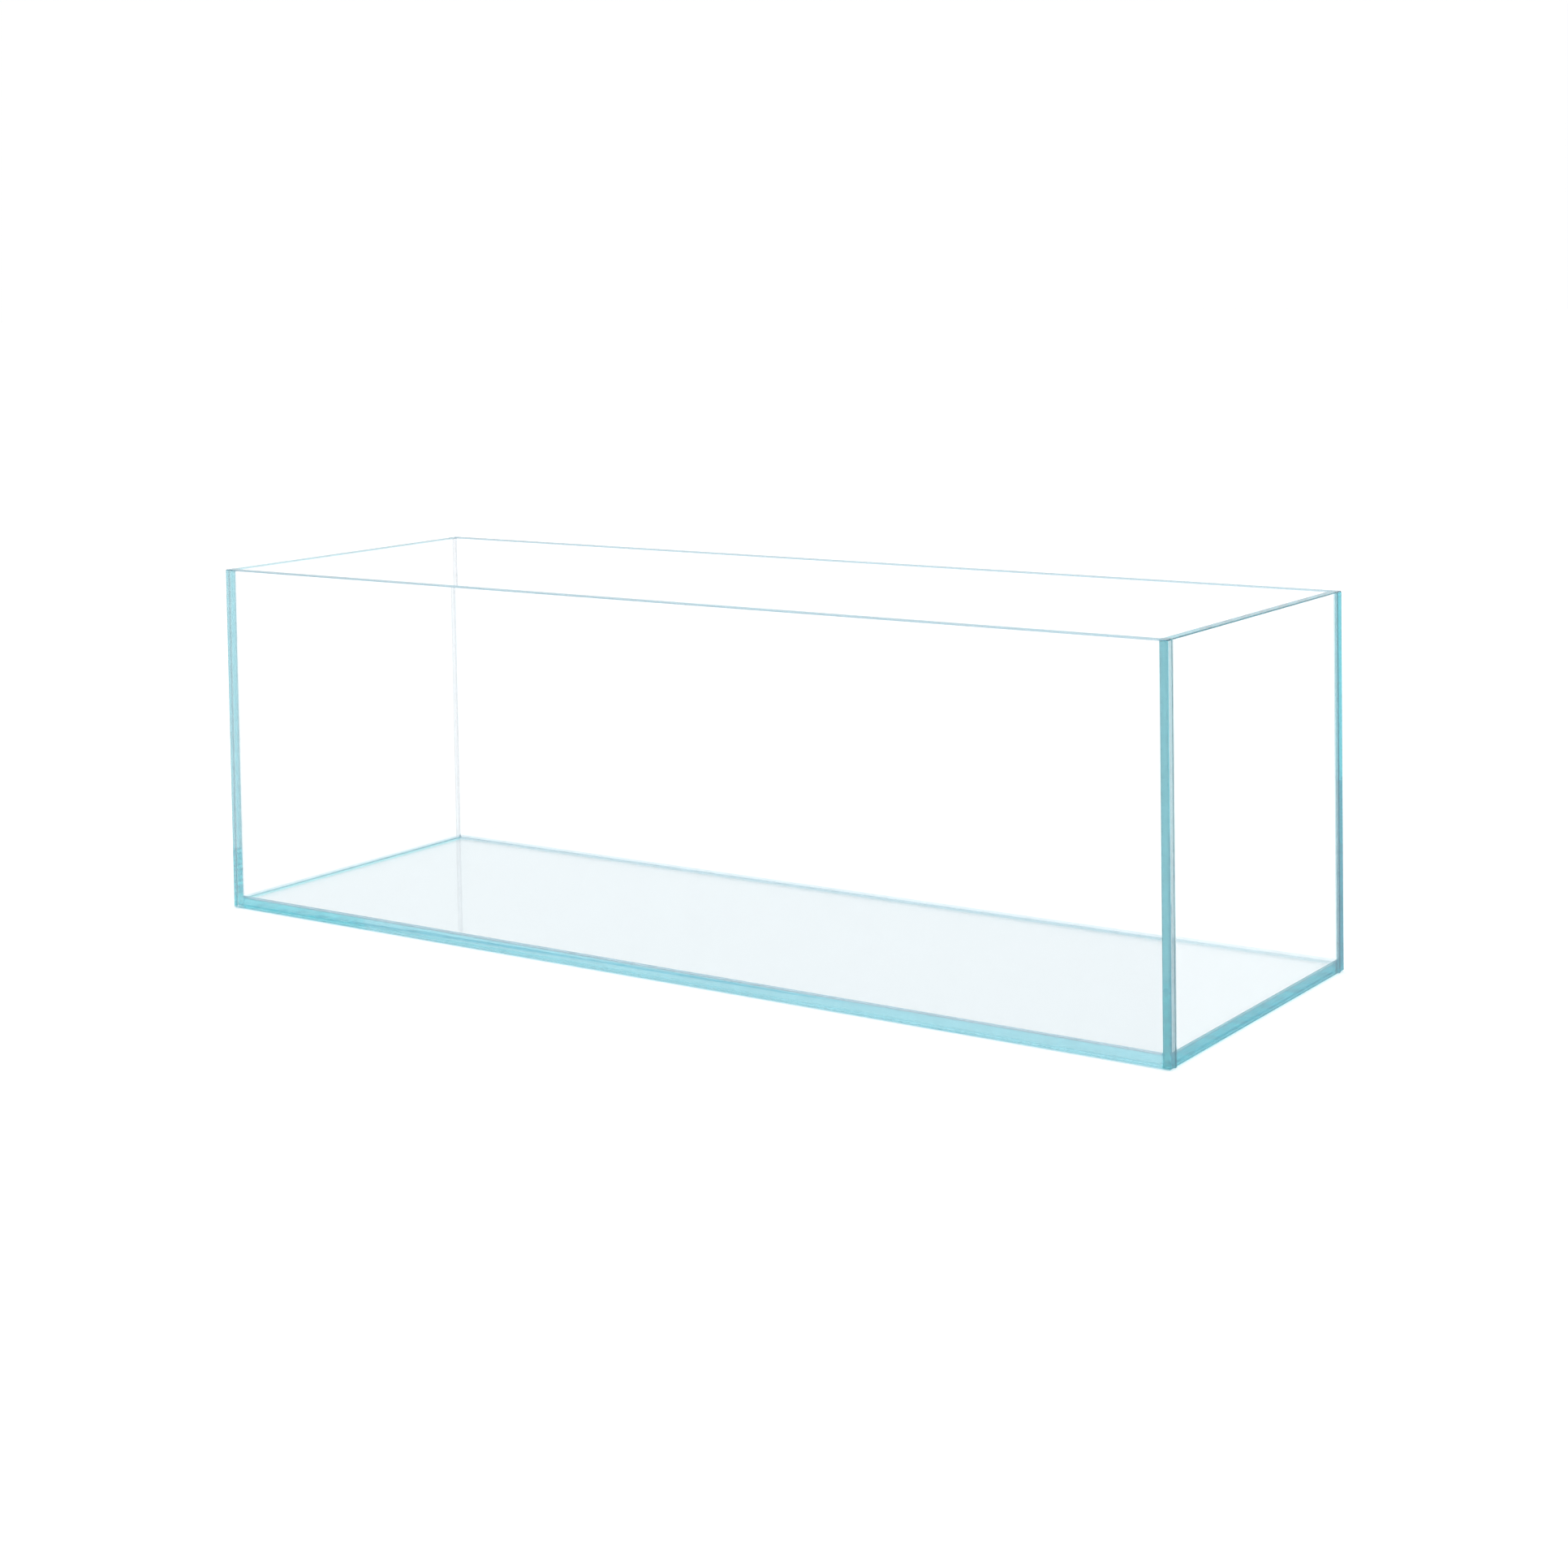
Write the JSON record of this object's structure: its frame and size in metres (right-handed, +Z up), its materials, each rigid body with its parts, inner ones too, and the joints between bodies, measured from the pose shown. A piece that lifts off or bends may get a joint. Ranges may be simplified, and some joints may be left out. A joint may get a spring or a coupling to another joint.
{
  "type": "glass aquarium tank",
  "caption": "Rimless open-top rectangular aquarium tank of clear low-iron glass panes bonded with clear silicone, with the base pane bonded between the four walls.",
  "frame": {"origin": "middle of the tank's underside, on the surface that it stands on", "axes": "+X along the tank's length, +Y from the front pane to the back pane, +Z up"},
  "size_m": [0.9, 0.3, 0.295],
  "materials": {
    "low_iron_glass": "polished",
    "clear_silicone": "satin"
  },
  "bodies": {
    "root": {"base_pane": "low_iron_glass", "front_pane": "low_iron_glass", "back_pane": "low_iron_glass", "left_pane": "low_iron_glass", "right_pane": "low_iron_glass", "front_floor_bond": "clear_silicone", "back_floor_bond": "clear_silicone", "left_floor_bond": "clear_silicone", "right_floor_bond": "clear_silicone", "front_left_corner_bond": "clear_silicone", "front_right_corner_bond": "clear_silicone", "back_left_corner_bond": "clear_silicone", "back_right_corner_bond": "clear_silicone", "front_floor_bead": "clear_silicone", "back_floor_bead": "clear_silicone", "left_floor_bead": "clear_silicone", "right_floor_bead": "clear_silicone"}
  },
  "joints": []
}
